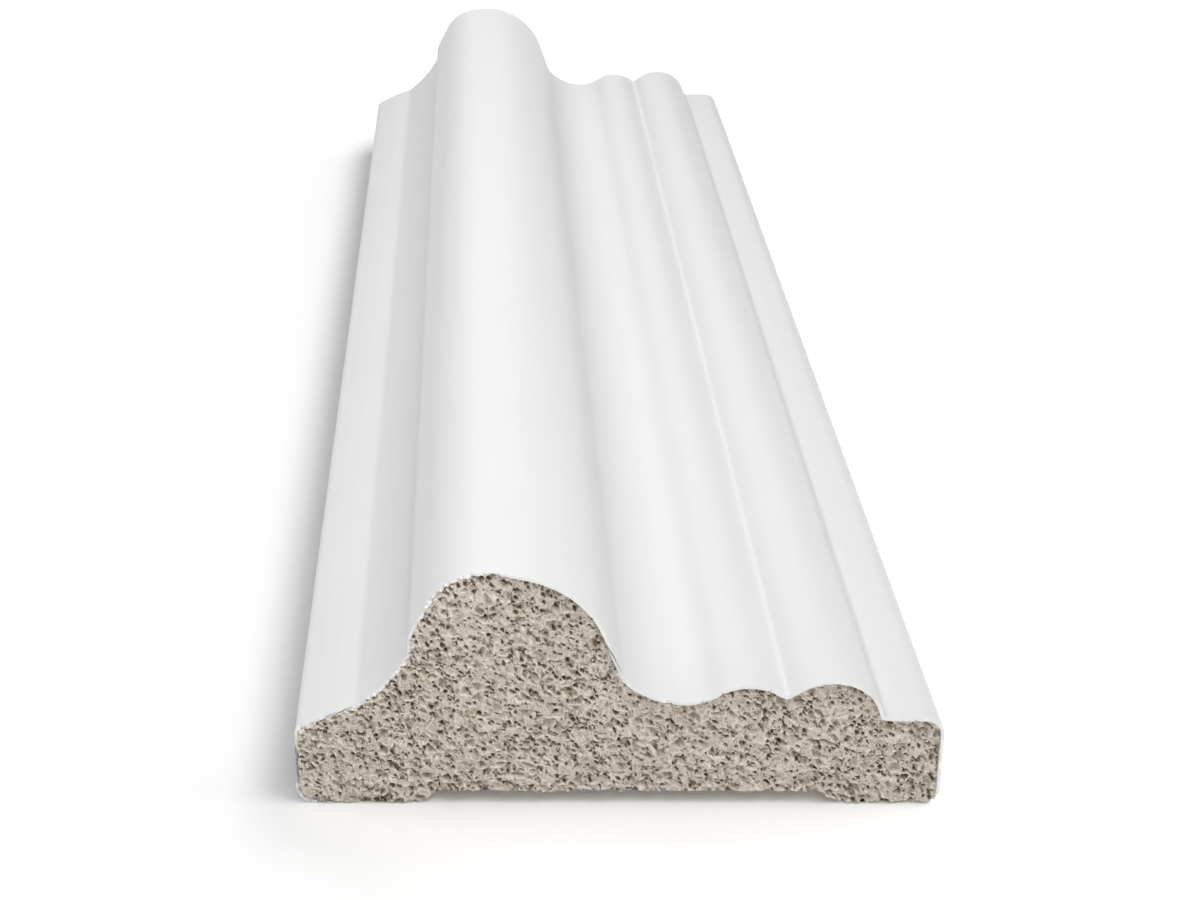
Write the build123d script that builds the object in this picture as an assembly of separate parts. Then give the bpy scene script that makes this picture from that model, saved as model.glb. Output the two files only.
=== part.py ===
from build123d import *
import os
from math import cos, radians, sin, tan

# A short sample of wall moulding, lying on its back.
# The section is drawn in X (across) and Z (up from the wall side), the length runs along Y.
# Heights are measured from the flat of the two feet, which is the face that meets the wall.

# Overall stock
LENGTH = 245.0
WIDTH = 80.0
THICKNESS = 33.8
COAT = 0.4

# Sides, which lean in a little from the back to the face
LEFT_LEAN = 0.25
RIGHT_LEAN = 0.6
LEFT_BACK_ROUND = 2.5
RIGHT_BACK_ROUND = 1.5

# Left shoulder, a low swell between the left edge and the cove
LEFT_EDGE_HEIGHT = 11.3
LEFT_EDGE_ROUND = 1.2
SHOULDER_WIDTH = 7.45
SHOULDER_HEIGHT = 14.75
SHOULDER_SWELL = 0.25

# Left cove, which climbs from the shoulder to the foot of a short riser under the crown
LEFT_COVE_WIDTH = 6.5
LEFT_COVE_RISE = 7.55
LEFT_COVE_SAG = 0.6
LEFT_COVE_ROUND = 3.0
RISER_HEIGHT = 2.6
RISER_LEAN = 0.08
RISER_FOOT_ROUND = 0.8
ARRIS_ROUND = 4.0

# Crown, the big round moulding with straight flanks
LEFT_FLANK_ANGLE = 63.0
RIGHT_FLANK_ANGLE = 69.0
CROWN_LEFT_RADIUS = 8.0
CROWN_RIGHT_RADIUS = 13.4
CROWN_FLAT = 1.65

# Wide cove between the crown and the first bead
FLANK_FOOT_HEIGHT = 19.2
FLANK_FOOT_ROUND = 2.0
COVE_FLOOR_HEIGHT = 15.8
COVE_TO_BEAD = 7.4

# Two beads with a groove between them
BEAD_HEIGHT = 18.2
BEAD_TO_GROOVE = 4.75
GROOVE_HEIGHT = 16.45
GROOVE_ROUND = 0.8
GROOVE_TO_OUTER_BEAD = 5.65
OUTER_BEAD_HEIGHT = 18.85
OUTER_BEAD_TO_STEP = 6.25

# Flat ledge along the right edge
LEDGE_HEIGHT = 13.4
LEDGE_WIDTH = 7.55
STEP_ROUND = 0.8
RIGHT_EDGE_ROUND = 2.6

# Relief in the back, which leaves two feet to glue to the wall
LEFT_FOOT_WIDTH = 15.6
RIGHT_FOOT_WIDTH = 12.4
RELIEF_DEPTH = 2.0
RELIEF_RUN = 2.4
RELIEF_ROUND = 1.0


def corners():
    """Corner points of the section by name, each as (x, z)."""
    left = -WIDTH / 2
    right = WIDTH / 2
    left_angle = radians(LEFT_FLANK_ANGLE)
    right_angle = radians(RIGHT_FLANK_ANGLE)

    edge_x = left + LEFT_LEAN
    shoulder_x = edge_x + SHOULDER_WIDTH
    riser_foot = (shoulder_x + LEFT_COVE_WIDTH, SHOULDER_HEIGHT + LEFT_COVE_RISE)
    arris = (riser_foot[0] + RISER_LEAN, riser_foot[1] + RISER_HEIGHT)

    # The crown's left flank runs straight from the arris to where its round begins
    left_round_z = THICKNESS - CROWN_LEFT_RADIUS * (1 - cos(left_angle))
    left_round_x = arris[0] + (left_round_z - arris[1]) / tan(left_angle)
    top_start_x = left_round_x + CROWN_LEFT_RADIUS * sin(left_angle)
    top_end_x = top_start_x + CROWN_FLAT
    right_round_x = top_end_x + CROWN_RIGHT_RADIUS * sin(right_angle)
    right_round_z = THICKNESS - CROWN_RIGHT_RADIUS * (1 - cos(right_angle))
    foot_x = right_round_x + (right_round_z - FLANK_FOOT_HEIGHT) / tan(right_angle)

    # The beads and the ledge are set out from the right edge
    ledge_end_x = right - RIGHT_LEAN
    step_x = ledge_end_x - LEDGE_WIDTH
    outer_bead_x = step_x - OUTER_BEAD_TO_STEP
    groove_x = outer_bead_x - GROOVE_TO_OUTER_BEAD
    bead_x = groove_x - BEAD_TO_GROOVE
    floor_x = bead_x - COVE_TO_BEAD

    return {
        "back_left": (left, 0),
        "edge_left": (edge_x, LEFT_EDGE_HEIGHT),
        "shoulder": (shoulder_x, SHOULDER_HEIGHT),
        "riser_foot": riser_foot,
        "arris": arris,
        "left_round": (left_round_x, left_round_z),
        "top_start": (top_start_x, THICKNESS),
        "top_end": (top_end_x, THICKNESS),
        "right_round": (right_round_x, right_round_z),
        "flank_foot": (foot_x, FLANK_FOOT_HEIGHT),
        "cove_floor": (floor_x, COVE_FLOOR_HEIGHT),
        "bead_foot": ((floor_x + bead_x) / 2, (COVE_FLOOR_HEIGHT + BEAD_HEIGHT) / 2),
        "bead": (bead_x, BEAD_HEIGHT),
        "groove": (groove_x, GROOVE_HEIGHT),
        "outer_bead": (outer_bead_x, OUTER_BEAD_HEIGHT),
        "step": (step_x, LEDGE_HEIGHT),
        "edge_right": (ledge_end_x, LEDGE_HEIGHT),
        "back_right": (right, 0),
        "relief_right": (right - RIGHT_FOOT_WIDTH, 0),
        "relief_right_top": (right - RIGHT_FOOT_WIDTH - RELIEF_RUN, RELIEF_DEPTH),
        "relief_left_top": (left + LEFT_FOOT_WIDTH + RELIEF_RUN, RELIEF_DEPTH),
        "relief_left": (left + LEFT_FOOT_WIDTH, 0),
    }


def outline(p):
    """Closed outline of the section, with sharp corners, from the back left corner round."""
    to_left = (-1, 0)
    to_right = (1, 0)
    return [
        Line(p["back_left"], p["edge_left"]),
        SagittaArc(p["edge_left"], p["shoulder"], SHOULDER_SWELL),
        SagittaArc(p["shoulder"], p["riser_foot"], -LEFT_COVE_SAG),
        Line(p["riser_foot"], p["arris"]),
        Line(p["arris"], p["left_round"]),
        TangentArc(p["top_start"], p["left_round"], tangent=to_left),
        Line(p["top_start"], p["top_end"]),
        TangentArc(p["top_end"], p["right_round"], tangent=to_right),
        Line(p["right_round"], p["flank_foot"]),
        TangentArc(p["cove_floor"], p["flank_foot"], tangent=to_left),
        TangentArc(p["cove_floor"], p["bead_foot"], tangent=to_right),
        TangentArc(p["bead"], p["bead_foot"], tangent=to_left),
        TangentArc(p["bead"], p["groove"], tangent=to_right),
        TangentArc(p["outer_bead"], p["groove"], tangent=to_left),
        TangentArc(p["outer_bead"], p["step"], tangent=to_right),
        Line(p["step"], p["edge_right"]),
        Line(p["edge_right"], p["back_right"]),
        Line(p["back_right"], p["relief_right"]),
        Line(p["relief_right"], p["relief_right_top"]),
        Line(p["relief_right_top"], p["relief_left_top"]),
        Line(p["relief_left_top"], p["relief_left"]),
        Line(p["relief_left"], p["back_left"]),
    ]


def rounded(face, p):
    """The section with each named corner rounded."""
    rounds = {
        "back_left": LEFT_BACK_ROUND,
        "edge_left": LEFT_EDGE_ROUND,
        "shoulder": LEFT_COVE_ROUND,
        "riser_foot": RISER_FOOT_ROUND,
        "arris": ARRIS_ROUND,
        "flank_foot": FLANK_FOOT_ROUND,
        "groove": GROOVE_ROUND,
        "step": STEP_ROUND,
        "edge_right": RIGHT_EDGE_ROUND,
        "back_right": RIGHT_BACK_ROUND,
        "relief_right": RELIEF_ROUND,
        "relief_right_top": RELIEF_ROUND,
        "relief_left_top": RELIEF_ROUND,
        "relief_left": RELIEF_ROUND,
    }
    for name, radius in rounds.items():
        corner = Vector(*p[name])
        vertex = min(face.vertices(), key=lambda v: (Vector(v) - corner).length)
        face = fillet(vertex, radius)
    return face


def is_bare(edge):
    """True along the back, on the feet and the relief, which take no coat."""
    middle = edge @ 0.5
    foot_reach = WIDTH / 2 - max(LEFT_BACK_ROUND, RIGHT_BACK_ROUND)
    return abs(middle.X) < foot_reach and middle.Y < (RELIEF_DEPTH + COVE_FLOOR_HEIGHT) / 2


def under_coat(edge, face):
    """The run of foam under a run of coat: the same line or arc, one thickness further in."""

    def sunk(t, depth):
        return edge @ t + (edge % t).rotate(Axis.Z, 90) * depth

    depth = COAT if face.is_inside(sunk(0.5, COAT)) else -COAT
    if edge.geom_type == GeomType.LINE:
        return Line(sunk(0, depth), sunk(1, depth))
    return ThreePointArc(sunk(0, depth), sunk(0.5, depth), sunk(1, depth))


def layers(face):
    """The section's two layers, foam first and then the coat on its face and sides."""
    edges = face.outer_wire().edges()
    bare = [edge for edge in edges if is_bare(edge)]
    coated = [edge for edge in edges if not is_bare(edge)]
    inner = [under_coat(edge, face) for edge in coated]
    feet = sorted((v for edge in bare for v in edge.vertices()), key=lambda v: v.X)
    ends = [Line(Vector(v), Vector(v) + Vector(0, COAT)) for v in (feet[0], feet[-1])]
    return make_face(bare + ends + inner), make_face(coated + ends + inner)


def stock(section):
    """A section drawn flat, stood up at the far end and run out along its length to the near end."""
    far_end = Plane.XZ.offset(-LENGTH / 2)
    return extrude(far_end * section, amount=LENGTH)


points = corners()
foam, coat = layers(rounded(make_face(outline(points)), points).face())

os.makedirs("parts", exist_ok=True)
export_step(stock(foam), "parts/foam_core.step")
export_step(stock(coat), "parts/white_coat.step")
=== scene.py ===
"""Dresses a sawn length of foam wall moulding: its open-celled core, its satin white coat and a studio."""

from contextlib import contextmanager
from math import pi, radians, sqrt

import bpy
from bpy.props import FloatProperty, FloatVectorProperty, PointerProperty
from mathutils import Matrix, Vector


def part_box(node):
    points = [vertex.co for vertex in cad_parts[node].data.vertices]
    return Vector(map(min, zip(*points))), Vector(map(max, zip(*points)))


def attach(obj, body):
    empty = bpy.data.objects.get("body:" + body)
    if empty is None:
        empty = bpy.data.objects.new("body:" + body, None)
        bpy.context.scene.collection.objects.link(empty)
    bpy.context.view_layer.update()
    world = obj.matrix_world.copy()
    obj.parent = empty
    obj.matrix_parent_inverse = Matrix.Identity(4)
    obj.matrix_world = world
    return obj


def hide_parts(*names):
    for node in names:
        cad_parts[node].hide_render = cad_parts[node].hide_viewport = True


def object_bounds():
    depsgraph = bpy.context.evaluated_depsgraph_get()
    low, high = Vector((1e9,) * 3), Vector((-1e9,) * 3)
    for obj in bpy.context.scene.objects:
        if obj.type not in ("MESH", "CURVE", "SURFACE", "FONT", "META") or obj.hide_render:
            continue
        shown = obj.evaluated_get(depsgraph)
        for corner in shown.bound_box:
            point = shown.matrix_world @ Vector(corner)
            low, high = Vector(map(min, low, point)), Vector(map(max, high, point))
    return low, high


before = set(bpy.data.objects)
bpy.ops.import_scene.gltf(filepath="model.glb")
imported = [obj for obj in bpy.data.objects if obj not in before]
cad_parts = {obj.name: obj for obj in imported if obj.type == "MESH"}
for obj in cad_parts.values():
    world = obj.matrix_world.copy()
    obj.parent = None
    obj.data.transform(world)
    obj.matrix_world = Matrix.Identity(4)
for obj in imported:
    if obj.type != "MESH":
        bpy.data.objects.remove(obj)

bl_info = {
    "name": "Wall moulding sample",
    "version": (1, 0, 0),
    "blender": (4, 5, 0),
    "location": "View3D > Sidebar > Moulding",
    "description": "Foam core, white coat and studio for a sawn length of wall moulding",
    "category": "Add Mesh",
}

MM = 0.001
SAME_PLACE = 1e-6
CAD_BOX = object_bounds()
HALF_LENGTH = CAD_BOX[1].y
TOP = CAD_BOX[1].z


# Sizes and colours that a user would change

class FoamSettings(bpy.types.PropertyGroup):
    """Sizes and colours of the bare foam."""

    near_pitch: FloatProperty(
        name="Near pitch", description="Mesh step on the near sawn end",
        default=0.15 * MM, unit="LENGTH")
    far_pitch: FloatProperty(
        name="Far pitch", description="Mesh step on the far sawn end",
        default=0.28 * MM, unit="LENGTH")
    back_pitch: FloatProperty(
        name="Back pitch", description="Mesh step on the bare back",
        default=1.9 * MM, unit="LENGTH")
    recess: FloatProperty(
        name="Recess", description="How far the sawn foam lies behind the coat's edge",
        default=0.04 * MM, unit="LENGTH")
    cell_spacing: FloatProperty(
        name="Cell spacing", description="Distance between the large cells",
        default=1.0 * MM, unit="LENGTH")
    cell_depth: FloatProperty(
        name="Cell depth", description="Depth of a large cell where the saw opened it in the middle",
        default=0.5 * MM, unit="LENGTH")
    fine_spacing: FloatProperty(
        name="Fine cell spacing", description="Distance between the small cells",
        default=0.46 * MM, unit="LENGTH")
    fine_depth: FloatProperty(
        name="Fine cell depth", description="Depth of a small cell",
        default=0.34 * MM, unit="LENGTH")
    tear_size: FloatProperty(
        name="Tear size", description="Width of the patches that the saw tore out",
        default=2.6 * MM, unit="LENGTH")
    tear_depth: FloatProperty(
        name="Tear depth", description="Depth of the torn patches",
        default=0.3 * MM, unit="LENGTH")
    wall_height: FloatProperty(
        name="Wall height", description="How far the thin cell walls stand out of the cut",
        default=0.1 * MM, unit="LENGTH")
    wrinkle: FloatProperty(
        name="Wrinkle", description="Height of the torn wrinkles between the cells",
        default=0.75 * MM, unit="LENGTH")
    ragged: FloatProperty(
        name="Ragged rim", description="How far the rim of the sawn foam wanders in and out",
        default=0.28 * MM, unit="LENGTH")
    lump_size: FloatProperty(
        name="Lump size", description="Width of the lumps on the bare back",
        default=2.4 * MM, unit="LENGTH")
    lump_height: FloatProperty(
        name="Lump height", description="Height of the lumps on the bare back",
        default=0.45 * MM, unit="LENGTH")
    crumble: FloatProperty(
        name="Crumble", description="Height lost from the lower edge of each end",
        default=0.3 * MM, unit="LENGTH")
    # Palest colour, on the thin walls: partly their own paler colour, partly a painted highlight on the
    # ridges
    wall_tint_and_highlight: FloatVectorProperty(
        name="Wall colour", description="Thin walls between the cells",
        default=(0.93, 0.865, 0.778), subtype="COLOR", size=3)
    body_colour: FloatVectorProperty(
        name="Body colour", description="Sides of the opened cells",
        default=(0.73, 0.647, 0.54), subtype="COLOR", size=3)
    # Darkest brown in the pits: partly the foam's own tint, partly painted shade in the cells' hollows
    pit_tint_and_shade: FloatVectorProperty(
        name="Pit colour", description="Bottoms of the opened cells",
        default=(0.22, 0.145, 0.08), subtype="COLOR", size=3)


class CoatSettings(bpy.types.PropertyGroup):
    """Sizes and colours of the white coat."""

    facet: FloatProperty(
        name="Facet", description="Longest straight step around the section",
        default=0.3 * MM, unit="LENGTH")
    chip_size: FloatProperty(
        name="Chip size", description="Width of the chips that the saw left in the edge",
        default=1.3 * MM, unit="LENGTH")
    chip_depth: FloatProperty(
        name="Chip depth", description="Depth of the deepest chips",
        default=0.4 * MM, unit="LENGTH")
    fray_depth: FloatProperty(
        name="Fray depth", description="How far the edge is frayed back on the left",
        default=1.5 * MM, unit="LENGTH")
    # A whiter colour on the sawn edges: painted light, making up for the lamps reaching those faces less
    cut_painted_light: FloatVectorProperty(
        name="Cut colour", description="Chalkier white where the saw went through the coat",
        default=(0.95, 0.95, 0.94), subtype="COLOR", size=3)
    colour: FloatVectorProperty(
        name="Colour", description="The coat's white",
        default=(0.76, 0.76, 0.757), subtype="COLOR", size=3)
    roughness: FloatProperty(
        name="Roughness", description="Roughness of the satin finish",
        default=0.5, min=0.0, max=1.0, subtype="FACTOR")


class StageSettings(bpy.types.PropertyGroup):
    """Floor, light and camera."""

    floor_colour: FloatVectorProperty(
        name="Floor colour", description="Plain pale floor",
        default=(0.93, 0.93, 0.93), subtype="COLOR", size=3)
    glow_colour: FloatVectorProperty(
        name="Glow colour", description="Glow of the floor far out, where the lights no longer reach",
        default=(0.93, 0.93, 0.93), subtype="COLOR", size=3)
    near_glow: FloatProperty(
        name="Near glow", description="Share of that glow under the moulding, which softens its shadow",
        default=0.09, min=0.0, max=1.0, subtype="FACTOR")
    sky: FloatProperty(
        name="Sky", description="Brightness of the plain backdrop over the floor's far edge",
        default=0.93, min=0.0)
    light: FloatProperty(
        name="Light", description="Strength of all the studio lights together",
        default=1.0, min=0.0)
    lens: FloatProperty(
        name="Lens", description="Focal length on a sensor 36 mm wide",
        default=56.92, min=1.0)
    pitch: FloatProperty(
        name="Pitch", description="How far the camera looks down",
        default=radians(28.29), subtype="ANGLE")
    height: FloatProperty(
        name="Height", description="The camera's height over the floor",
        default=151.08 * MM, unit="LENGTH")
    stand_off: FloatProperty(
        name="Stand-off", description="The camera's distance in front of the sawn end",
        default=187.04 * MM, unit="LENGTH")
    offset: FloatProperty(
        name="Offset", description="The camera's place across the moulding",
        default=-18.39 * MM, unit="LENGTH")
    shift: FloatProperty(
        name="Shift", description="Sideways shift of the picture, in picture widths",
        default=0.1088)


# Node trees written as expressions

# The middle of a cloud texture's values, as a number and as a vector to take away
MIDDLE = 0.5
TO_MIDDLE = (-0.5, -0.5, -0.5)


class Wire:
    """A socket of a node tree. Arithmetic on it adds Math nodes, and node() adds any other node."""

    def __init__(self, tree, socket=None):
        self.tree = tree
        self.socket = socket

    def node(self, kind, settings=None, values=None, out=0):
        """Adds a node, sets it up, fills or links its sockets and returns one of its outputs."""
        made = self.tree.nodes.new(kind)
        for name, value in (settings or {}).items():
            if name == "stops":
                set_stops(made.color_ramp, value)
            else:
                setattr(made, name, value)
        for name, value in (values or {}).items():
            if isinstance(value, Wire):
                self.tree.links.new(value.socket, made.inputs[name])
            else:
                made.inputs[name].default_value = value
        return Wire(self.tree, made.outputs[out] if made.outputs else None)

    def other(self, name):
        """Another output of the same node."""
        return Wire(self.tree, self.socket.node.outputs[name])

    def math(self, operation, first, second=0.0):
        return self.node("ShaderNodeMath", {"operation": operation}, {0: first, 1: second})

    def __add__(self, value):
        return self.math("ADD", self, value)

    def __radd__(self, value):
        return self.math("ADD", value, self)

    def __sub__(self, value):
        return self.math("SUBTRACT", self, value)

    def __rsub__(self, value):
        return self.math("SUBTRACT", value, self)

    def __mul__(self, value):
        return self.math("MULTIPLY", self, value)

    def __rmul__(self, value):
        return self.math("MULTIPLY", value, self)

    def __abs__(self):
        return self.math("ABSOLUTE", self)

    def __lt__(self, value):
        return self.math("LESS_THAN", self, value)

    def __gt__(self, value):
        return self.math("GREATER_THAN", self, value)


def set_stops(ramp, stops):
    """Gives a colour ramp its stops, each a place and a colour."""
    while len(ramp.elements) < len(stops):
        ramp.elements.new(1.0)
    for element, (place, colour) in zip(ramp.elements, stops):
        element.position = place
        element.color = (*colour, 1.0)


def larger(first, second):
    return first.math("MAXIMUM", first, second)


def smaller(first, second):
    return first.math("MINIMUM", first, second)


def root(value):
    return value.math("SQRT", value)


def sign(value):
    return value.math("SIGN", value)


def ramp_between(value, low, high):
    """0 below low, 1 above high and a smooth climb between them."""
    limits = {"Value": value, "From Min": low, "From Max": high, "To Min": 0.0, "To Max": 1.0}
    return value.node("ShaderNodeMapRange", {"interpolation_type": "SMOOTHSTEP"}, limits)


def vector(x, y, z):
    wires = [part for part in (x, y, z) if isinstance(part, Wire)]
    return wires[0].node("ShaderNodeCombineXYZ", None, {"X": x, "Y": y, "Z": z})


def parts_of(spot):
    """The X, Y and Z of a vector."""
    split = spot.node("ShaderNodeSeparateXYZ", None, {"Vector": spot}, "X")
    return split, split.other("Y"), split.other("Z")


def added(first, second):
    return first.node("ShaderNodeVectorMath", {"operation": "ADD"}, {0: first, 1: second})


def scaled(spot, factor):
    return spot.node("ShaderNodeVectorMath", {"operation": "SCALE"}, {0: spot, "Scale": factor})


def along(spot, direction):
    """How far a spot lies along a direction."""
    sockets = {0: spot, 1: direction}
    return spot.node("ShaderNodeVectorMath", {"operation": "DOT_PRODUCT"}, sockets, "Value")


def clouds(spot, size, detail=2.0, roughness=0.5, out="Fac"):
    """Cloudy values about 0.5, with blobs of a size."""
    sockets = {"Vector": spot, "Scale": 1 / size, "Detail": detail, "Roughness": roughness}
    return spot.node("ShaderNodeTexNoise", None, sockets, out)


def mixed(factor, first, second):
    """A colour between two others."""
    return factor.node("ShaderNodeMix", {"data_type": "RGBA"}, {0: factor, 6: first, 7: second}, 2)


def scaled_colour(colour, factor):
    """A colour made darker or lighter, with full alpha."""
    return (*(part * factor for part in colour), 1.0)


def about_zero(clouded):
    """Cloudy values about 0 from those about 0.5."""
    return clouded - MIDDLE


# Patterns of the foam, which its mesh and its finish share. Sizes here are in millimetres.

GRAIN_ALONG = Vector((1, 0, -1)) / sqrt(2)
GRAIN_ACROSS = Vector((1, 0, 1)) / sqrt(2)
DEPTH = Vector((0, 1, 0))
GRAIN_STRETCH = 0.68
WARP_SIZE = 0.7
WARP = 0.45

# Shares of a cell's spacing, from its wall inwards: its side, and its thin wall
CELL_SIDE = (0.05, 0.28)
WALL_THICKNESS = 0.09

# Of a cell's random number: under the first it stays shut, over the second it is cut open in the middle
OPENING_CHANCE = (0.25, 0.9)


def grain(spot):
    """The spot seen along the slant that the saw drew the cells out on, with bent lines."""
    slant = along(spot, GRAIN_ALONG) * GRAIN_STRETCH
    drawn = vector(slant, along(spot, DEPTH), along(spot, GRAIN_ACROSS))
    bend = added(clouds(drawn, WARP_SIZE, roughness=0.6, out="Color"), TO_MIDDLE)
    return added(drawn, scaled(bend, WARP))


def opened_cells(spot, spacing):
    """How far the cells are opened at a spot, up to 1 where the saw cut deep, and their thin walls."""
    sockets = {"Vector": spot, "Scale": 1 / spacing}
    wall = spot.node("ShaderNodeTexVoronoi", {"feature": "DISTANCE_TO_EDGE"}, sockets, "Distance")
    chance, _, _ = parts_of(spot.node("ShaderNodeTexVoronoi", {"feature": "F1"}, sockets, "Color"))
    opened = ramp_between(wall, *CELL_SIDE) * ramp_between(chance, *OPENING_CHANCE)
    return opened, 1 - ramp_between(wall, 0.0, WALL_THICKNESS)


def sawn_cells(spot, settings):
    """The large cells, the fine cells and the walls of both at a spot."""
    bent = grain(spot)
    large, large_wall = opened_cells(bent, settings.cell_spacing / MM)
    fine, fine_wall = opened_cells(bent, settings.fine_spacing / MM)
    return large, fine, larger(large_wall, fine_wall)


# Modelling

# Faces that meet at less than this are one flat, and a face that looks this much along Y was sawn
FLAT_ANGLE = radians(0.05)
SAWN_FACING = 0.9


def make_active(piece):
    bpy.ops.object.select_all(action="DESELECT")
    piece.select_set(True)
    bpy.context.view_layer.objects.active = piece


@contextmanager
def editing(piece):
    """Edit mode with all of the piece selected."""
    make_active(piece)
    bpy.ops.object.mode_set(mode="EDIT")
    bpy.ops.mesh.select_mode(type="FACE")
    bpy.ops.mesh.select_all(action="SELECT")
    yield
    bpy.ops.object.mode_set(mode="OBJECT")


@contextmanager
def picking(piece, kind, test):
    """Edit mode with just the faces or edges selected that pass a test."""
    make_active(piece)
    bpy.ops.object.mode_set(mode="EDIT")
    bpy.ops.mesh.select_mode(type=kind)
    bpy.ops.mesh.select_all(action="DESELECT")
    bpy.ops.object.mode_set(mode="OBJECT")
    found = piece.data.polygons if kind == "FACE" else piece.data.edges
    chosen = [test(part) for part in found]
    found.foreach_set("select", chosen)
    bpy.ops.object.mode_set(mode="EDIT")
    yield any(chosen)
    bpy.ops.object.mode_set(mode="OBJECT")


def copy_of(node, name):
    """A merged copy of a CAD node, with one face on each flat."""
    piece = bpy.data.objects.new(name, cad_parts[node].data.copy())
    bpy.context.collection.objects.link(piece)
    make_active(piece)
    bpy.ops.mesh.customdata_custom_splitnormals_clear()
    with editing(piece):
        bpy.ops.mesh.remove_doubles(threshold=SAME_PLACE)
        bpy.ops.mesh.dissolve_limited(angle_limit=FLAT_ANGLE)
    return piece


def edge_vector(piece, edge):
    first, second = (piece.data.vertices[i].co for i in edge.vertices)
    return second - first


def edge_middle(piece, edge):
    first, second = (piece.data.vertices[i].co for i in edge.vertices)
    return (first + second) / 2


def is_end(face):
    """True for a face that the saw cut."""
    return abs(face.normal.y) > SAWN_FACING


def is_lengthwise(step):
    """True for a step that runs along the moulding more than across it."""
    return abs(step.y) > step.length / 2


def cut_rings(piece, depths):
    """Cuts the piece across at some depths from each sawn end."""
    for depth in depths:
        for end in (-HALF_LENGTH + depth, HALF_LENGTH - depth):
            with editing(piece):
                bpy.ops.mesh.bisect(plane_co=(0, end, 0), plane_no=(0, 1, 0))


def shape_by_nodes(piece, name, build):
    """Runs the piece through geometry nodes and applies them."""
    tree = bpy.data.node_groups.new(name, "GeometryNodeTree")
    for way in ("INPUT", "OUTPUT"):
        tree.interface.new_socket("Geometry", in_out=way, socket_type="NodeSocketGeometry")
    mesh = Wire(tree).node("NodeGroupInput", out="Geometry")
    mesh.node("NodeGroupOutput", None, {"Geometry": build(mesh)})
    modifier = piece.modifiers.new(name, "NODES")
    modifier.node_group = tree
    make_active(piece)
    bpy.ops.object.modifier_apply(modifier=modifier.name)
    bpy.data.node_groups.remove(tree)


def finish_piece(piece, node, material):
    """Hands a finished piece to the frame in place of its CAD node."""
    piece.data.materials.clear()
    piece.data.materials.append(material)
    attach(piece, "root")
    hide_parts(node)


def new_material(name):
    """A material with no nodes yet, and a wire to start them from."""
    material = bpy.data.materials.new(name)
    material.use_nodes = True
    material.node_tree.nodes.clear()
    return material, Wire(material.node_tree)


def set_surface(start, values):
    """Ends a material's nodes with a surface shader and the output."""
    shader = start.node("ShaderNodeBsdfPrincipled", None, values, "BSDF")
    start.node("ShaderNodeOutputMaterial", None, {"Surface": shader})


# The foam

# Height under which the bare back lies, and cuts around the core behind its ends, for the crumbled edge
FOAM_BACK = 2.1 * MM
RIM_RINGS = (0.9 * MM, 1.8 * MM)

# Edges across the back count as one width, in mm, when they agree to these decimals
WIDTH_DIGITS = 2
WIDTH_STEP = 0.01

# Sharpest angle that is shaded as one surface
FOAM_SMOOTH = radians(75)

# In mm along the foam: the slice of cells that a sawn end shows, and how near the cut a spot is sawn
SLICE = 160.0
AT_CUT = 0.01

# Sizes of the wrinkles and of the rim's wandering, in mm
WRINKLE_SIZE = 0.36
WANDER_SIZE = 0.8

# Cloud values over which a torn patch deepens
TORN = (0.3, 0.75)

# Where the back's lumps fade, in mm: from foot to relief, towards the coated sides and up the ends
RELIEF_RISE = (0.8, 1.9)
LUMPS_ACROSS = (34.0, 36.5)
LUMPS_BELOW = (2.2, 4.0)

# Depth of the hollows in the feet, as a share of the lumps in the relief
FOOT_HOLLOWS = 0.8

# Where the crumbled edge fades, in mm: inwards from the end, and up
CRUMBLE_FROM = 0.1
CRUMBLE_BELOW = 1.2

# Sizes of the finish's patches and of its grit, in mm
PATCH_SIZE = 4.0
GRIT_SIZE = 0.22

# The foam's tone runs from 0 on its palest walls to 1 in its darkest pits, and each pattern shifts it. The
# darkness of the opened cells is partly the foam's own brown tint and partly painted shade.
PLAIN_TONE = 0.24
OPENED_TINT_AND_SHADE = 0.72
LARGE_SHARE = 0.3
GRIT_TONE = 0.7
PATCH_TONE = 0.2
WALL_HIGHLIGHT_TONE = 0.22
TONE_STOPS = (0.0, 0.3, 0.85)

# Height of the grit and of the walls in the bump, against a cell's depth of 1
GRIT_BUMP = 0.5
WALL_BUMP = 0.5
FOAM_BUMP = {"Strength": 0.95, "Distance": 0.12 * MM}


def divide_back(core, pitch):
    """Gives the bare back a mesh of small squares, so that its lumps can be shaped."""

    def on_back(edge):
        return edge_middle(core, edge).z < FOAM_BACK

    def lengthwise(edge):
        return on_back(edge) and is_lengthwise(edge_vector(core, edge))

    with picking(core, "EDGE", lengthwise):
        bpy.ops.mesh.subdivide(number_cuts=round(2 * HALF_LENGTH / pitch) - 1)

    widths = set()
    for edge in core.data.edges:
        step = edge_vector(core, edge)
        if on_back(edge) and not is_lengthwise(step) and abs(step.x) > 2 * pitch:
            widths.add(round(step.length / MM, WIDTH_DIGITS))
    for width in sorted(widths):

        def across(edge):
            step = edge_vector(core, edge)
            wide = abs(step.length / MM - width) < WIDTH_STEP
            return wide and on_back(edge) and not is_lengthwise(step)

        with picking(core, "EDGE", across):
            bpy.ops.mesh.subdivide(number_cuts=round(width * MM / pitch) - 1)


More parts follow.
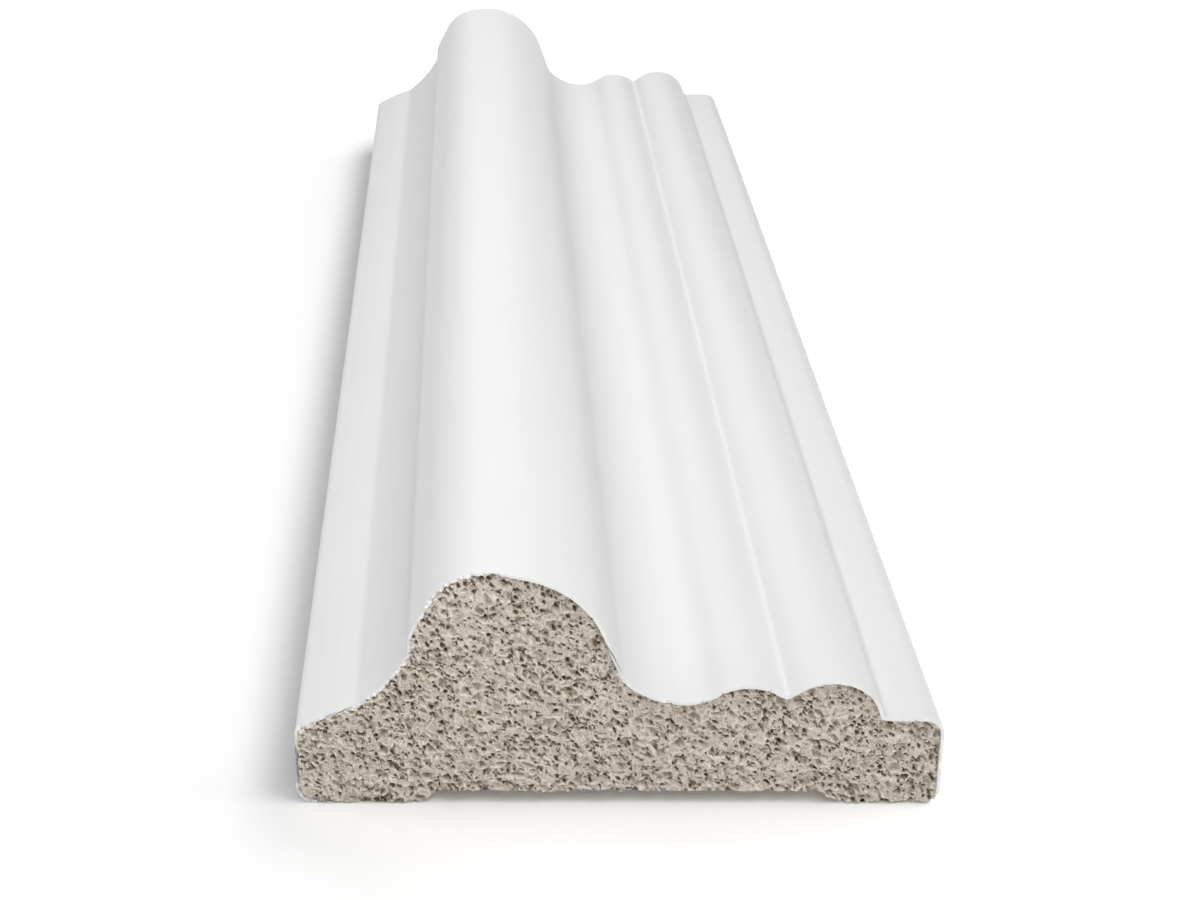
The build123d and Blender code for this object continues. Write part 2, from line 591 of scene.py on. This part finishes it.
def trim_end(core, end, pitch, recess):
    """Trims the core at one end, -1 or 1 along Y, by a block whose end is a fine grid."""
    low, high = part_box("foam_core")
    size = high - low
    middle = (low + high) / 2
    columns = round(size.x / pitch) + 2
    rows = round(size.z / pitch) + 2
    bpy.ops.object.select_all(action="DESELECT")
    bpy.ops.mesh.primitive_grid_add(x_subdivisions=columns, y_subdivisions=rows, size=1)
    block = bpy.context.object
    with editing(block):
        bpy.ops.transform.resize(value=(columns * pitch, rows * pitch, 1))
        bpy.ops.transform.rotate(value=-pi / 2, orient_axis="X", center_override=(0, 0, 0))
        bpy.ops.transform.translate(value=(middle.x, end * (HALF_LENGTH - recess), middle.z))
        run = (0, -end * 2 * HALF_LENGTH, 0)
        bpy.ops.mesh.extrude_region_move(TRANSFORM_OT_translate={"value": run})
        bpy.ops.mesh.dissolve_faces()
        bpy.ops.mesh.select_all(action="SELECT")
        bpy.ops.mesh.normals_make_consistent(inside=False)
    trim = core.modifiers.new("trim", "BOOLEAN")
    trim.operation = "INTERSECT"
    trim.solver = "MANIFOLD"
    trim.object = block
    make_active(core)
    bpy.ops.object.modifier_apply(modifier=trim.name)
    bpy.data.objects.remove(block)
    if not core.data.polygons:
        raise RuntimeError("the trim left nothing of the foam")


def sawn_slice(x, y, z, sawn):
    """The spot whose cells show: on a sawn end, the same slice of foam all over it."""
    end = sign(y)
    return vector(x, sawn * end * SLICE + (1 - sawn) * y, z)


def rough_foam(settings):
    """Geometry nodes for the sawn ends and the bare back."""

    def build(mesh):
        place = scaled(mesh.node("GeometryNodeInputPosition"), 1 / MM)
        x, y, z = parts_of(place)
        sawn = (HALF_LENGTH - settings.recess) / MM - abs(y) < AT_CUT
        spot = sawn_slice(x, y, z, sawn)
        large, fine, wall = sawn_cells(spot, settings)
        torn = ramp_between(clouds(spot, settings.tear_size / MM, 3.0, 0.55), *TORN)
        wrinkles = clouds(grain(spot), WRINKLE_SIZE, 3.0, 0.62)
        depth = large * (settings.cell_depth / MM) + fine * (settings.fine_depth / MM)
        depth = depth + (1 - wall) * (settings.wall_height / MM)
        depth = depth + torn * (settings.tear_depth / MM) + wrinkles * (settings.wrinkle / MM)
        wander = added(clouds(spot, WANDER_SIZE, 3.0, 0.6, "Color"), TO_MIDDLE)
        aside, _, upward = parts_of(scaled(wander, 2 * settings.ragged / MM))

        # The relief's ceiling has lumps both ways, and the feet, which stand on the floor, only hollows
        lumps = about_zero(clouds(place, settings.lump_size / MM, 3.0, 0.6))
        in_relief = ramp_between(z, *RELIEF_RISE)
        height = lumps * in_relief + larger(lumps, 0.0) * (1 - in_relief) * FOOT_HOLLOWS
        inside = 1 - ramp_between(abs(x), *LUMPS_ACROSS)
        low = 1 - ramp_between(z, *LUMPS_BELOW)
        lift = height * inside * low * (2 * settings.lump_height / MM)

        # The saw crumbles the lower edge of each end, which leaves a thin dark gap over the floor
        from_end = HALF_LENGTH / MM - abs(y)
        at_end = 1 - ramp_between(from_end, CRUMBLE_FROM, RIM_RINGS[-1] / MM)
        crumbled = at_end * (1 - ramp_between(z, 0.0, CRUMBLE_BELOW))
        lift = lift + crumbled * (settings.crumble / MM)

        new_place = vector(
            x + sawn * aside, y - sawn * depth * sign(y), larger(z + lift + sawn * upward, 0.0))
        kept = mesh.node(
            "GeometryNodeStoreNamedAttribute", {"data_type": "FLOAT", "domain": "POINT"},
            {"Geometry": mesh, "Name": "sawn", "Value": sawn})
        return mesh.node(
            "GeometryNodeSetPosition", None, {"Geometry": kept, "Position": scaled(new_place, MM)})

    return build


def foam_finish(settings):
    """Beige foam: pale walls, partly painted highlight, and browner, darker opened cells, partly a real
    tint and partly painted shade.
    """
    material, start = new_material("bare_foam")
    place = scaled(start.node("ShaderNodeTexCoord", out="Object"), 1 / MM)
    sawn = start.node("ShaderNodeAttribute", {"attribute_name": "sawn"}, None, "Fac")
    spot = sawn_slice(*parts_of(place), sawn > 0.5)
    large, fine, wall = sawn_cells(spot, settings)
    opened = larger(large * LARGE_SHARE, fine)

    patches = clouds(place, PATCH_SIZE, 3.0, 0.55)
    grit = clouds(place, GRIT_SIZE, 3.0, 0.65)
    # The opened cells take the darker colours: painted shade in the hollows over the foam's own brown tint
    tone = opened * OPENED_TINT_AND_SHADE + about_zero(grit) * GRIT_TONE + about_zero(patches) * PATCH_TONE
    # The walls are made paler: a painted highlight on the ridges over their own paler colour
    tone = tone + PLAIN_TONE - wall * WALL_HIGHLIGHT_TONE
    colours = (settings.wall_tint_and_highlight, settings.body_colour, settings.pit_tint_and_shade)
    stops = list(zip(TONE_STOPS, colours))
    colour = tone.node("ShaderNodeValToRGB", {"stops": stops}, {"Fac": tone}, "Color")
    rough = grit * GRIT_BUMP + wall * WALL_BUMP - fine - large * (1 - sawn)
    normal = rough.node("ShaderNodeBump", None, {"Height": rough, **FOAM_BUMP})
    set_surface(start, {
        "Base Color": colour, "Roughness": 0.92, "Specular IOR Level": 0.2, "Normal": normal})
    return material


class MOULDING_OT_foam_core(bpy.types.Operator):
    """Model the foam core with its open-celled sawn ends and its bare back"""

    bl_idname = "moulding.foam_core"
    bl_label = "Foam core"

    def execute(self, context):
        settings = context.scene.moulding_foam
        piece = copy_of("foam_core", "sawn_foam")
        divide_back(piece, settings.back_pitch)
        cut_rings(piece, RIM_RINGS)
        trim_end(piece, -1, settings.near_pitch, settings.recess)
        trim_end(piece, 1, settings.far_pitch, settings.recess)
        shape_by_nodes(piece, "rough_foam", rough_foam(settings))
        make_active(piece)
        bpy.ops.object.shade_smooth_by_angle(angle=FOAM_SMOOTH)
        finish_piece(piece, "foam_core", foam_finish(settings))
        return {"FINISHED"}


# The coat

# Cuts around the coat behind its ends, for the chips, and the longest step that lies on a curve
END_RINGS = (0.2 * MM, 0.5 * MM, 1.2 * MM)
STRAIGHT_STEP = 2.0 * MM

# Sharpest angle that is shaded as one surface
COAT_SMOOTH = radians(35)

# In mm: where the chips' pattern is read along the length, the fray's size and its depth in the clean lip
EDGE_SLICE = 40
FRAY_SIZE = 0.45
LIP_FRAY = 0.05

# Deepest that chips and fray go together, in mm
DEEPEST = 1.1

# Cloud values over which a chip deepens
CHIPPED = (0.5, 0.78)

# Where the frayed part of the coat's edge ends and the clean lip begins, in mm across and in mm up
FRAYED_TO = (-17.0, -12.0)
FRAYED_BELOW = (0.8, 2.4)

# Sizes of the finish's streaks, peel and clouds in mm, and how the streaks are drawn out along the length
STREAK_SIZE = 1.6
STREAK_STRETCH = 0.05
PEEL_SIZE = 1.1
CLOUD_SIZE = 14.0

# The darker white, the cloud values over which it gives way to the lighter, and the spread of the gloss
DARKER = 0.985
DARKER_TO = (0.3, 0.7)
GLOSS_SPREAD = 0.12

# Height of the peel in the bump, against 1 for the streaks
PEEL_BUMP = 0.5
COAT_BUMP = {"Strength": 0.12, "Distance": 0.03 * MM}

# How far a face looks along Y before the painted light on the sawn edge shows, and where it is full
PAINTED_LIGHT_FACING = (0.4, 0.8)


def refine_section(coat, facet):
    """Rounds the section's steps: straight runs are halved, then each step is split on its curve."""

    def split_steps(longest, smoothness):
        def is_long(edge):
            step = edge_vector(coat, edge)
            return not is_lengthwise(step) and step.length > longest

        with picking(coat, "EDGE", is_long) as found:
            if found:
                bpy.ops.mesh.subdivide(number_cuts=1, smoothness=smoothness)
        return found

    while split_steps(STRAIGHT_STEP, 0.0):
        pass
    while split_steps(facet, 1.0):
        pass


def close_ends(coat):
    """Fills the two sawn ends and cuts them into triangles."""
    for end in (-HALF_LENGTH, HALF_LENGTH):

        def on_rim(edge):
            middle = edge_middle(coat, edge)
            return abs(middle.y - end) < SAME_PLACE and not is_lengthwise(edge_vector(coat, edge))

        with picking(coat, "EDGE", on_rim):
            bpy.ops.mesh.edge_face_add()
    with picking(coat, "FACE", is_end):
        bpy.ops.mesh.quads_convert_to_tris(quad_method="BEAUTY", ngon_method="BEAUTY")
    with editing(coat):
        bpy.ops.mesh.normals_make_consistent(inside=False)


def chip_edge(settings):
    """Geometry nodes for the chips and the fraying along the coat's sawn edges."""

    def build(mesh):
        place = scaled(mesh.node("GeometryNodeInputPosition"), 1 / MM)
        x, y, z = parts_of(place)
        from_end = HALF_LENGTH / MM - abs(y)
        near = 1 - ramp_between(from_end, 0.0, END_RINGS[-1] / MM)
        spot = vector(x, sign(y) * EDGE_SLICE, z)
        chips = ramp_between(clouds(spot, settings.chip_size / MM, 3.0, 0.65), *CHIPPED)
        fray = clouds(spot, FRAY_SIZE, 3.0, 0.6)

        # The saw frays the coat's lower edges and its left, and leaves a clean lip on the right
        frayed = 1 - ramp_between(x, *FRAYED_TO) * ramp_between(z, *FRAYED_BELOW)
        depth = chips * (settings.chip_depth / MM) + frayed * fray * (settings.fray_depth / MM)
        depth = smaller((depth + fray * LIP_FRAY) * near, DEEPEST)
        height = smaller(larger(z, 0.0), TOP / MM)
        moved = scaled(vector(x, y - sign(y) * depth, height), MM)
        return mesh.node("GeometryNodeSetPosition", None, {"Geometry": mesh, "Position": moved})

    return build


def coat_finish(settings):
    """Satin white with the faint waviness of a sprayed coat, and painted light that whitens its sawn
    edges, which the lamps light less.
    """
    material, start = new_material("satin_coat")
    place = scaled(start.node("ShaderNodeTexCoord", out="Object"), 1 / MM)
    x, y, z = parts_of(place)
    drawn = vector(x, y * STREAK_STRETCH, z)
    streaks = clouds(drawn, STREAK_SIZE, detail=3.0)
    peel = clouds(place, PEEL_SIZE)
    cloud = clouds(place, CLOUD_SIZE)
    darker = scaled_colour(settings.colour, DARKER)
    average = streaks * 0.5 + cloud * 0.5
    colour = mixed(ramp_between(average, *DARKER_TO), darker, (*settings.colour, 1.0))
    # Faces that look along Y, the sawn edges, are painted whiter: painted light for the light that the
    # lamps give them less
    _, facing, _ = parts_of(start.node("ShaderNodeNewGeometry", out="Normal"))
    colour = mixed(ramp_between(abs(facing), *PAINTED_LIGHT_FACING), colour, (*settings.cut_painted_light, 1.0))
    roughness = settings.roughness + about_zero(streaks) * GLOSS_SPREAD
    height = peel * PEEL_BUMP + streaks
    normal = height.node("ShaderNodeBump", None, {"Height": height, **COAT_BUMP})
    set_surface(start, {
        "Base Color": colour, "Roughness": roughness, "Specular IOR Level": 0.4, "Normal": normal})
    return material


class MOULDING_OT_white_coat(bpy.types.Operator):
    """Model the white coat with its chipped and frayed sawn edges"""

    bl_idname = "moulding.white_coat"
    bl_label = "White coat"

    def execute(self, context):
        settings = context.scene.moulding_coat
        piece = copy_of("white_coat", "satin_coat")
        with picking(piece, "FACE", is_end) as found:
            if not found:
                raise RuntimeError("the coat has no sawn ends")
            bpy.ops.mesh.delete(type="FACE")
        refine_section(piece, settings.facet)
        cut_rings(piece, END_RINGS)
        close_ends(piece)
        shape_by_nodes(piece, "chip_edge", chip_edge(settings))
        make_active(piece)
        bpy.ops.object.shade_smooth_by_angle(angle=COAT_SMOOTH)
        finish_piece(piece, "white_coat", coat_finish(settings))
        return {"FINISHED"}


# The stage

# The camera's sensor, in mm
SENSOR_WIDTH = 36

# The floor's side and the size of its mottle, in metres, and the mottle's darker tone
FLOOR_SIZE = 60.0
MOTTLE_SIZE = 0.4
MOTTLE_TONE = 0.99

# Where the floor's glow begins and where it is full, in metres from the moulding
GLOW_REACH = (0.2, 1.0)


def floor_finish(settings):
    """Plain pale floor with a faint mottle and a glow that keeps it pale far out."""
    material, start = new_material("pale_floor")
    place = start.node("ShaderNodeTexCoord", out="Object")
    mottle = clouds(place, MOTTLE_SIZE)
    mottled = scaled_colour(settings.floor_colour, MOTTLE_TONE)
    colour = mixed(mottle, mottled, (*settings.floor_colour, 1.0))
    across, along_floor, _ = parts_of(place)
    away = root(across * across + along_floor * along_floor)
    near_glow = scaled_colour(settings.glow_colour, settings.near_glow)
    glow = mixed(ramp_between(away, *GLOW_REACH), near_glow, (*settings.glow_colour, 1.0))
    set_surface(start, {
        "Base Color": colour, "Roughness": 1.0, "Specular IOR Level": 0.0,
        "Emission Color": glow, "Emission Strength": 1.0})
    return material


# Soft square lights: name, place in metres, side in metres and power in watts
LIGHTS = (
    ("overhead", (0.5, -0.3, 1.1), 0.6, 7.7),
    ("left", (-0.9, 0, 0.9), 0.8, 2.4),
    ("left_edge", (-1.2, 0, 0.35), 0.6, 1.6),
    ("right_edge", (1.2, 0, 0.35), 0.6, 1.3),
    ("front", (0.1, -0.75, 1.0), 0.5, 3.2),
    ("back", (0, 1.4, 0.3), 0.6, 1.6),
)

# Lights that fall on the floor alone, for its white and for the shadow on the left
FLOOR_LIGHTS = (
    ("floor_back", (0.6, 0.6, 0.9), 0.8, 6.4),
    ("floor_right", (0.9, 0, 0.6), 0.5, 2.8),
)

# Long narrow lights close over the crown, kept off the floor: name, place, width and length, and power
STRIPS = (
    ("crown_strip", (0, 0, 0.18), (0.04, 0.5), 0.12),
    ("shoulder_strip", (-0.1, 0, 0.22), (0.05, 0.6), 0.22),
)


def add_light(name, place, size, power):
    """A square soft light that looks at the moulding."""
    look = (-Vector(place)).to_track_quat("-Z", "Y").to_euler()
    bpy.ops.object.light_add(type="AREA", location=place, rotation=look)
    lamp = bpy.context.object
    lamp.name = name
    lamp.data.shape = "SQUARE"
    lamp.data.size = size
    lamp.data.energy = power
    return lamp


def add_strip(name, place, size, power):
    """A narrow light along the moulding that looks straight down and isn't seen itself."""
    bpy.ops.object.light_add(type="AREA", location=place)
    lamp = bpy.context.object
    lamp.name = name
    lamp.data.shape = "RECTANGLE"
    lamp.data.size, lamp.data.size_y = size
    lamp.data.energy = power
    lamp.visible_camera = False
    return lamp


def only_for(piece, state):
    """A collection by which a light reaches just one piece, or all but it."""
    reached = bpy.data.collections.new(f"{state.lower()}_{piece.name}")
    reached.objects.link(piece)
    reached.collection_objects[0].light_linking.link_state = state
    return reached


class MOULDING_OT_stage(bpy.types.Operator):
    """Set up the floor, the studio light and the camera"""

    bl_idname = "moulding.stage"
    bl_label = "Stage"

    def execute(self, context):
        settings = context.scene.moulding_stage
        bpy.ops.object.select_all(action="DESELECT")
        bpy.ops.mesh.primitive_plane_add(size=FLOOR_SIZE)
        floor = context.object
        floor.name = "floor"
        floor.data.materials.append(floor_finish(settings))

        world = bpy.data.worlds.new("studio")
        world.use_nodes = True
        backdrop = world.node_tree.nodes["Background"]
        backdrop.inputs["Color"].default_value = (1, 1, 1, 1)
        backdrop.inputs["Strength"].default_value = settings.sky
        # The backdrop is seen by the camera alone, and the lamps light the moulding
        seen = world.cycles_visibility
        seen.diffuse = seen.glossy = seen.transmission = seen.scatter = False
        context.scene.world = world
        context.scene.view_settings.view_transform = "Standard"

        for name, place, size, power in LIGHTS:
            add_light(name, place, size, power * settings.light)
        for name, place, size, power in FLOOR_LIGHTS:
            lamp = add_light(name, place, size, power * settings.light)
            lamp.light_linking.receiver_collection = only_for(floor, "INCLUDE")
        for name, place, size, power in STRIPS:
            lamp = add_strip(name, place, size, power * settings.light)
            lamp.light_linking.receiver_collection = only_for(floor, "EXCLUDE")

        bpy.ops.object.camera_add(
            location=(settings.offset, -HALF_LENGTH - settings.stand_off, settings.height),
            rotation=(pi / 2 - settings.pitch, 0, 0))
        camera = context.object
        camera.name = "camera"
        camera.data.sensor_fit = "HORIZONTAL"
        camera.data.sensor_width = SENSOR_WIDTH
        camera.data.lens = settings.lens
        camera.data.shift_x = settings.shift
        camera.data.clip_start = 1 * MM
        context.scene.camera = camera
        return {"FINISHED"}


class MOULDING_PT_panel(bpy.types.Panel):
    """Pieces of the moulding sample"""

    bl_idname = "MOULDING_PT_panel"
    bl_label = "Wall moulding"
    bl_space_type = "VIEW_3D"
    bl_region_type = "UI"
    bl_category = "Moulding"

    def draw(self, context):
        for step in STEPS:
            self.layout.operator(step.bl_idname)


STEPS = (MOULDING_OT_foam_core, MOULDING_OT_white_coat, MOULDING_OT_stage)
GROUPS = {"moulding_foam": FoamSettings, "moulding_coat": CoatSettings, "moulding_stage": StageSettings}


def register():
    for kind in (*GROUPS.values(), *STEPS, MOULDING_PT_panel):
        bpy.utils.register_class(kind)
    for name, group in GROUPS.items():
        setattr(bpy.types.Scene, name, PointerProperty(type=group))


def unregister():
    for name in GROUPS:
        delattr(bpy.types.Scene, name)
    for kind in (MOULDING_PT_panel, *STEPS, *GROUPS.values()):
        bpy.utils.unregister_class(kind)


def main():
    register()
    bpy.ops.moulding.foam_core()
    bpy.ops.moulding.white_coat()
    bpy.ops.moulding.stage()


if __name__ == "__main__":
    main()
